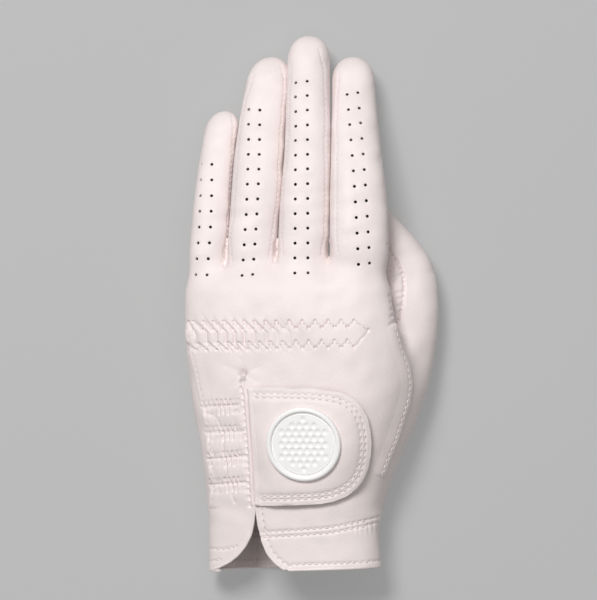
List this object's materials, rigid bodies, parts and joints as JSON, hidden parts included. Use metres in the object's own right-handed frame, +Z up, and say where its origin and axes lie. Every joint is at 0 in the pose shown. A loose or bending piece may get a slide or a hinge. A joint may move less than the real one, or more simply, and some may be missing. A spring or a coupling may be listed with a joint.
{
  "type": "golf glove",
  "caption": "Soft leather sports glove for a left hand, with bending finger ends, a swinging thumb end and a wrist tab that peels open.",
  "frame": {"origin": "middle of the glove's outline seen from above, on the surface it lies on, palm down", "axes": "+X towards the thumb's side, +Y from the cuff to the fingertips, +Z up out of the back of the hand"},
  "size_m": [0.1079, 0.2327, 0.0519],
  "materials": {
    "leather": "soft satin cabretta leather",
    "fourchette_leather": "soft satin",
    "crease_leather": "soft satin, gathered",
    "binding_leather": "soft satin",
    "facing": "matt knitted facing",
    "elastic": "woven elastic tape",
    "hook_and_loop": "matt hook-and-loop tape",
    "badge": "soft matt moulded rubber"
  },
  "bodies": {
    "hand": {"back_panel": "leather", "palm_panel": "leather", "thumb_root": "leather", "cuff_facing": "facing", "wrist_elastic": "elastic", "knuckle_elastic": "elastic", "side_elastics": "elastic", "crotch_web": "fourchette_leather", "slit_binding_left": "binding_leather", "slit_binding_right": "binding_leather", "slit_bar_tack": "binding_leather", "loop_patch": "hook_and_loop", "little_base_back": "leather", "little_base_front": "leather", "ring_base_back": "leather", "ring_base_front": "leather", "middle_base_back": "leather", "middle_base_front": "leather", "index_base_back": "leather", "index_base_front": "leather", "fourchette_little_ring": "fourchette_leather", "fourchette_ring_middle": "fourchette_leather", "fourchette_middle_index": "fourchette_leather", "little_crease": "crease_leather", "ring_crease": "crease_leather", "middle_crease": "crease_leather", "index_crease": "crease_leather", "thumb_crease": "crease_leather", "tab_root": "crease_leather"},
    "little_finger": {"little_tip_back": "leather", "little_tip_front": "leather", "little_tip_fourchette": "fourchette_leather"},
    "ring_finger": {"ring_tip_back": "leather", "ring_tip_front": "leather", "ring_tip_fourchettes": "fourchette_leather"},
    "middle_finger": {"middle_tip_back": "leather", "middle_tip_front": "leather", "middle_tip_fourchettes": "fourchette_leather"},
    "index_finger": {"index_tip_back": "leather", "index_tip_front": "leather", "index_tip_fourchette": "fourchette_leather"},
    "thumb_end": {"thumb_tip_back": "leather", "thumb_tip_front": "leather"},
    "tab": {"tab_shell": "leather", "tab_lining": "leather", "hook_patch": "hook_and_loop", "badge_base": "badge", "badge_rim": "badge", "badge_disc": "badge"}
  },
  "joints": [
    {"name": "little_bend", "type": "hinge", "parent": "hand", "child": "little_finger", "pos_m": [-0.04196, 0.03977, 0.01956], "axis": [-0.9946, 0.1037, 0], "range_deg": [0, 75], "deforming": ["little_crease"]},
    {"name": "ring_bend", "type": "hinge", "parent": "hand", "child": "ring_finger", "pos_m": [-0.02295, 0.05203, 0.02192], "axis": [-0.9956, 0.0939, 0], "range_deg": [0, 75], "deforming": ["ring_crease"]},
    {"name": "middle_bend", "type": "hinge", "parent": "hand", "child": "middle_finger", "pos_m": [-0.00192, 0.05591, 0.02649], "axis": [-0.9997, 0.0257, 0], "range_deg": [0, 75], "deforming": ["middle_crease"]},
    {"name": "index_bend", "type": "hinge", "parent": "hand", "child": "index_finger", "pos_m": [0.02043, 0.05317, 0.02937], "axis": [-0.9993, -0.0387, 0], "range_deg": [0, 60], "deforming": ["index_crease"]},
    {"name": "thumb_swing", "type": "hinge", "parent": "hand", "child": "thumb_end", "pos_m": [0.045, 0.005, 0.0112], "axis": [0, 0, 1], "range_deg": [-40, 15], "deforming": ["thumb_crease"]},
    {"name": "tab_peel", "type": "hinge", "parent": "hand", "child": "tab", "pos_m": [-0.0235, -0.0616, 0.03942], "axis": [0.0619, -0.9897, -0.1291], "range_deg": [0, 150], "deforming": ["tab_root"]}
  ]
}
